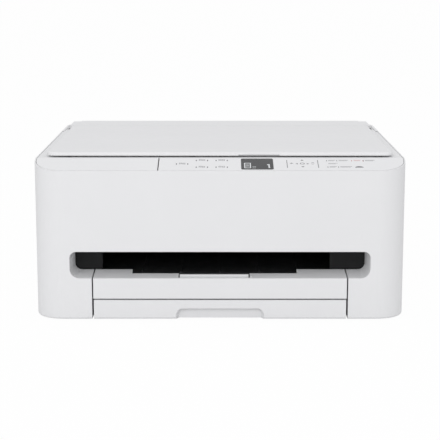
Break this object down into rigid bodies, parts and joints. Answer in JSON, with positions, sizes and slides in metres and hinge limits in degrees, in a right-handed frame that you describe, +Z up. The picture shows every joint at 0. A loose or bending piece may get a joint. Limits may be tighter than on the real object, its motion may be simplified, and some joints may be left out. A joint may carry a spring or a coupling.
{
  "type": "inkjet multifunction printer",
  "caption": "Compact flatbed inkjet printer and scanner with a lifting scanner unit, document cover, rear feed, sliding output tray and paper cassette.",
  "frame": {"origin": "middle of the outline on the surface that the feet stand on", "axes": "+X to the right seen from the front, +Y from the front to the back, +Z up"},
  "size_m": [0.372, 0.345, 0.1657],
  "materials": {
    "white_plastic": "fine grained satin",
    "black_plastic": "matt",
    "grey_plastic": "matt",
    "steel": "plated sheet",
    "bright_steel": "ground shaft",
    "rubber": "matt",
    "glass": "polished float glass",
    "display_glass": "dark tinted cover",
    "circuit_board": "solder mask",
    "white_sheet": "soft foam sheet",
    "gear_plastic": "acetal",
    "ink_black": "moulded shell",
    "ink_colour": "moulded shell",
    "lever_grey": "satin"
  },
  "bodies": {
    "printer_base": {"main_casing": "white_plastic", "base_frame": "black_plastic", "rubber_feet": "rubber", "chassis": "steel", "guide_shaft": "bright_steel", "platen": "black_plastic", "maintenance_station": "black_plastic", "inner_frame": "black_plastic", "mechanism_cover": "black_plastic", "power_supply": "steel", "power_inlet": "black_plastic", "data_port": "steel", "main_board": "circuit_board", "feed_motor": "steel", "carriage_motor": "steel", "carriage_belt": "black_plastic", "pinch_roller_holder": "black_plastic", "u_turn_guide": "black_plastic", "rear_tray_chute": "grey_plastic", "scanner_hinge_brackets": "grey_plastic", "stay_guide": "grey_plastic"},
    "feed_drive": {"feed_roller": "rubber", "feed_gear": "gear_plastic"},
    "idler": {"idler_gear": "gear_plastic"},
    "eject_drive": {"eject_roller": "rubber", "eject_gear": "gear_plastic"},
    "feed_pinion": {"motor_pinion": "gear_plastic"},
    "pinch": {"pinch_rollers": "rubber"},
    "belt_motor_pulley": {"motor_pulley": "gear_plastic"},
    "belt_idler_pulley": {"idler_pulley": "gear_plastic"},
    "carriage_unit": {"carriage": "black_plastic", "ink_cartridge_black": "ink_black", "ink_cartridge_colour": "ink_colour"},
    "lever_black": {"lock_lever_black": "lever_grey"},
    "lever_colour": {"lock_lever_colour": "lever_grey"},
    "scanner_unit": {"scanner_frame": "black_plastic", "scanner_top_cover": "white_plastic", "platen_glass": "glass", "operation_panel": "white_plastic", "display_window": "display_glass", "touch_sensor_board": "circuit_board", "sensor_rod": "bright_steel"},
    "sensor_unit": {"image_sensor": "black_plastic"},
    "hinge_posts": {"cover_hinge_posts": "black_plastic"},
    "lid": {"document_cover": "white_plastic", "pressure_sheet": "white_sheet"},
    "stay": {"scanner_stay": "grey_plastic"},
    "rear_cover": {"rear_tray_cover": "white_plastic"},
    "rear_left_guide": {"rear_guide_left": "grey_plastic"},
    "rear_right_guide": {"rear_guide_right": "grey_plastic"},
    "access_cover": {"rear_access_cover": "white_plastic"},
    "output_tray": {"output_tray_front": "white_plastic", "output_tray_floor": "black_plastic"},
    "support_flap": {"output_support": "white_plastic"},
    "cassette": {"cassette_tray": "black_plastic", "cassette_front": "white_plastic"},
    "width_left_guide": {"cassette_guide_left": "grey_plastic"},
    "width_right_guide": {"cassette_guide_right": "grey_plastic"},
    "guide_pinion": {"cassette_pinion": "gear_plastic"},
    "length_guide": {"cassette_length_guide": "grey_plastic"}
  },
  "joints": [
    {"name": "feed_roller_spin", "type": "hinge", "parent": "printer_base", "child": "feed_drive", "pos_m": [0, 0.078, 0.065], "axis": [1, 0, 0], "continuous": true},
    {"name": "idler_gear_spin", "type": "hinge", "parent": "printer_base", "child": "idler", "pos_m": [-0.1635, 0.02987, 0.065], "axis": [1, 0, 0], "continuous": true},
    {"name": "eject_roller_spin", "type": "hinge", "parent": "printer_base", "child": "eject_drive", "pos_m": [0, -0.01325, 0.065], "axis": [1, 0, 0], "continuous": true},
    {"name": "motor_pinion_spin", "type": "hinge", "parent": "printer_base", "child": "feed_pinion", "pos_m": [-0.1635, 0.1001, 0.0871], "axis": [1, 0, 0], "continuous": true},
    {"name": "pinch_roller_spin", "type": "hinge", "parent": "printer_base", "child": "pinch", "pos_m": [0, 0.078, 0.0771], "axis": [1, 0, 0], "continuous": true},
    {"name": "carriage_slide", "type": "slide", "parent": "printer_base", "child": "carriage_unit", "axis": [-1, 0, 0], "range_m": [0, 0.228]},
    {"name": "motor_pulley_spin", "type": "hinge", "parent": "printer_base", "child": "belt_motor_pulley", "pos_m": [0.14, 0.062, 0.1075], "axis": [0, 1, 0], "continuous": true},
    {"name": "idler_pulley_spin", "type": "hinge", "parent": "printer_base", "child": "belt_idler_pulley", "pos_m": [-0.14, 0.062, 0.1075], "axis": [0, 1, 0], "continuous": true},
    {"name": "black_lever_hinge", "type": "hinge", "parent": "carriage_unit", "child": "lever_black", "pos_m": [0.102, 0.051, 0.109], "axis": [-1, 0, 0], "range_deg": [0, 25]},
    {"name": "colour_lever_hinge", "type": "hinge", "parent": "carriage_unit", "child": "lever_colour", "pos_m": [0.134, 0.051, 0.109], "axis": [-1, 0, 0], "range_deg": [0, 25]},
    {"name": "scanner_hinge", "type": "hinge", "parent": "printer_base", "child": "scanner_unit", "pos_m": [0, 0.088, 0.1517], "axis": [1, 0, 0], "range_deg": [-40, 0]},
    {"name": "stay_hinge", "type": "hinge", "parent": "scanner_unit", "child": "stay", "pos_m": [-0.1742, 0.01, 0.1332], "axis": [1, 0, 0], "range_deg": [-20.4, 0]},
    {"name": "image_sensor_slide", "type": "slide", "parent": "scanner_unit", "child": "sensor_unit", "axis": [1, 0, 0], "range_m": [0, 0.3]},
    {"name": "cover_lift", "type": "slide", "parent": "scanner_unit", "child": "hinge_posts", "axis": [0, 0, 1], "range_m": [0, 0.012]},
    {"name": "cover_hinge", "type": "hinge", "parent": "hinge_posts", "child": "lid", "pos_m": [0, 0.0985, 0.1608], "axis": [-1, 0, 0], "range_deg": [0, 90]},
    {"name": "rear_cover_hinge", "type": "hinge", "parent": "printer_base", "child": "rear_cover", "pos_m": [0, 0.1605, 0.1592], "axis": [-1, 0, 0], "range_deg": [0, 100]},
    {"name": "rear_guide_slide", "type": "slide", "parent": "printer_base", "child": "rear_left_guide", "axis": [1, 0, 0], "range_m": [0, 0.05]},
    {"name": "rear_right_guide_slide", "type": "slide", "parent": "printer_base", "child": "rear_right_guide", "axis": [-1, 0, 0], "range_m": [0, 0.05]},
    {"name": "access_cover_hinge", "type": "hinge", "parent": "printer_base", "child": "access_cover", "pos_m": [0, 0.169, 0.025], "axis": [-1, 0, 0], "range_deg": [0, 85]},
    {"name": "output_tray_slide", "type": "slide", "parent": "printer_base", "child": "output_tray", "axis": [0, -1, 0], "range_m": [0, 0.1]},
    {"name": "output_support_hinge", "type": "hinge", "parent": "output_tray", "child": "support_flap", "pos_m": [-0.0059, -0.166, 0.0438], "axis": [1, 0, 0], "range_deg": [0, 130]},
    {"name": "cassette_slide", "type": "slide", "parent": "printer_base", "child": "cassette", "axis": [0, -1, 0], "range_m": [0, 0.26]},
    {"name": "width_guide_slide", "type": "slide", "parent": "cassette", "child": "width_left_guide", "axis": [1, 0, 0], "range_m": [0, 0.048]},
    {"name": "width_right_guide_slide", "type": "slide", "parent": "cassette", "child": "width_right_guide", "axis": [-1, 0, 0], "range_m": [0, 0.048]},
    {"name": "guide_pinion_spin", "type": "hinge", "parent": "cassette", "child": "guide_pinion", "pos_m": [0, 0.02, 0.0068], "axis": [0, 0, 1], "continuous": true},
    {"name": "length_guide_slide", "type": "slide", "parent": "cassette", "child": "length_guide", "axis": [0, 1, 0], "range_m": [0, 0.08]}
  ],
  "couplings": [
    {"joint": "idler_gear_spin", "follows": "feed_roller_spin", "ratio": -0.71111},
    {"joint": "eject_roller_spin", "follows": "feed_roller_spin", "ratio": 1.3333},
    {"joint": "motor_pinion_spin", "follows": "feed_roller_spin", "ratio": -1.7778},
    {"joint": "pinch_roller_spin", "follows": "feed_roller_spin", "ratio": -1.6667},
    {"joint": "motor_pulley_spin", "follows": "carriage_slide", "rad_per_m": 155.04},
    {"joint": "idler_pulley_spin", "follows": "carriage_slide", "rad_per_m": 155.04},
    {"joint": "stay_hinge", "follows": "scanner_hinge", "ratio": 0.509},
    {"joint": "rear_right_guide_slide", "follows": "rear_guide_slide", "ratio": 1},
    {"joint": "width_right_guide_slide", "follows": "width_guide_slide", "ratio": 1},
    {"joint": "guide_pinion_spin", "follows": "width_guide_slide", "rad_per_m": 125}
  ]
}
